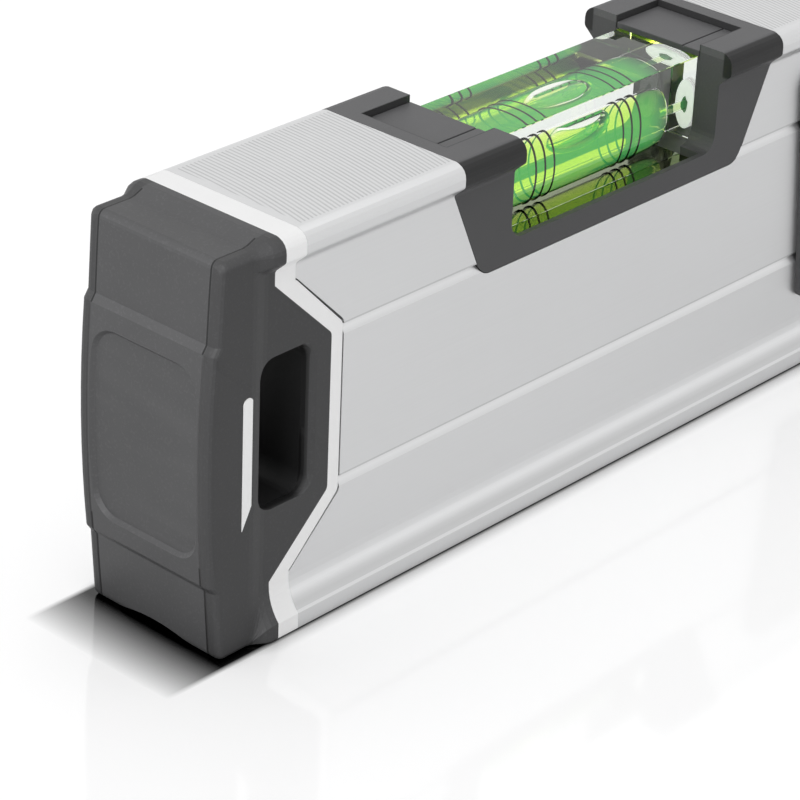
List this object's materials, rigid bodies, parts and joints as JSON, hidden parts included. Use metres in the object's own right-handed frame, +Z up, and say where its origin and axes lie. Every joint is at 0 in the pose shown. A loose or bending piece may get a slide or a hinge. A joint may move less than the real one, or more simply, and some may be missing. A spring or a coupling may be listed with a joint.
{
  "type": "digital spirit level",
  "caption": "Box-section aluminium spirit level with a green top vial, a plumb vial, a digital angle display and two-part end caps with hanging slots.",
  "frame": {"origin": "on the base plane, at the middle of the level's length and width", "axes": "+X along the level, away from the end with the horizontal vial; +Z up; the display faces -Y"},
  "size_m": [0.4, 0.028, 0.06],
  "materials": {
    "anodised_aluminium": "satin clear anodised",
    "light_cap_plastic": "satin light grey",
    "dark_cap_rubber": "matt dark grey, finely grained",
    "dark_plastic": "satin dark grey",
    "reflector_film": "glossy yellow-green",
    "clear_acrylic": "polished, clear",
    "green_liquid": "clear yellow-green liquid",
    "black_ring": "printed black",
    "white_plug": "milky white",
    "lens_acrylic": "polished, clear",
    "display_glass": "grey-green display, switched off",
    "connector_strip": "matt black",
    "board_laminate": "satin green",
    "chip_plastic": "matt black",
    "bright_steel": "bright",
    "button_plastic": "satin black",
    "battery_case": "satin copper colour, plain",
    "magnet_nickel": "nickel plated"
  },
  "bodies": {
    "level_body": {"profile": "anodised_aluminium", "cap_core_left": "light_cap_plastic", "cap_core_right": "light_cap_plastic", "cap_bumper_left": "dark_cap_rubber", "cap_bumper_right": "dark_cap_rubber", "vial_frame": "dark_plastic", "vial_clip_left": "dark_plastic", "vial_clip_right": "dark_plastic", "vial_reflector": "reflector_film", "vial_block": "clear_acrylic", "vial_fluid": "green_liquid", "vial_rings": "black_ring", "vial_plug": "white_plug", "plumb_frame": "dark_plastic", "plumb_block": "clear_acrylic", "plumb_fluid": "green_liquid", "plumb_rings": "black_ring", "plumb_plug": "white_plug", "display_bezel": "dark_plastic", "display_lens": "lens_acrylic", "lcd_panel": "display_glass", "lcd_connector": "connector_strip", "circuit_board": "board_laminate", "tilt_sensor": "chip_plastic", "controller_chip": "chip_plastic", "buzzer": "chip_plastic", "key_switches": "bright_steel", "rear_cover": "dark_plastic", "battery_upper": "battery_case", "battery_lower": "battery_case", "battery_contacts": "bright_steel", "module_screws": "bright_steel", "base_magnets": "magnet_nickel"},
    "power_button": {"button_power": "button_plastic"},
    "hold_button": {"button_hold": "button_plastic"},
    "zero_button": {"button_zero": "button_plastic"},
    "unit_button": {"button_unit": "button_plastic"},
    "sound_button": {"button_sound": "button_plastic"},
    "battery_door": {"battery_door": "dark_plastic"}
  },
  "joints": [
    {"name": "power_press", "type": "slide", "parent": "level_body", "child": "power_button", "axis": [0, 1, 0], "range_m": [0, 0.0006], "stiffness_N_per_m": 600, "springref_m": -0.0005},
    {"name": "hold_press", "type": "slide", "parent": "level_body", "child": "hold_button", "axis": [0, 1, 0], "range_m": [0, 0.0006], "stiffness_N_per_m": 600, "springref_m": -0.0005},
    {"name": "zero_press", "type": "slide", "parent": "level_body", "child": "zero_button", "axis": [0, 1, 0], "range_m": [0, 0.0006], "stiffness_N_per_m": 600, "springref_m": -0.0005},
    {"name": "unit_press", "type": "slide", "parent": "level_body", "child": "unit_button", "axis": [0, 1, 0], "range_m": [0, 0.0006], "stiffness_N_per_m": 600, "springref_m": -0.0005},
    {"name": "sound_press", "type": "slide", "parent": "level_body", "child": "sound_button", "axis": [0, 1, 0], "range_m": [0, 0.0006], "stiffness_N_per_m": 600, "springref_m": -0.0005},
    {"name": "battery_door_hinge", "type": "hinge", "parent": "level_body", "child": "battery_door", "pos_m": [0, 0.0136, 0.01775], "axis": [-1, 0, 0], "range_deg": [0, 100]}
  ]
}
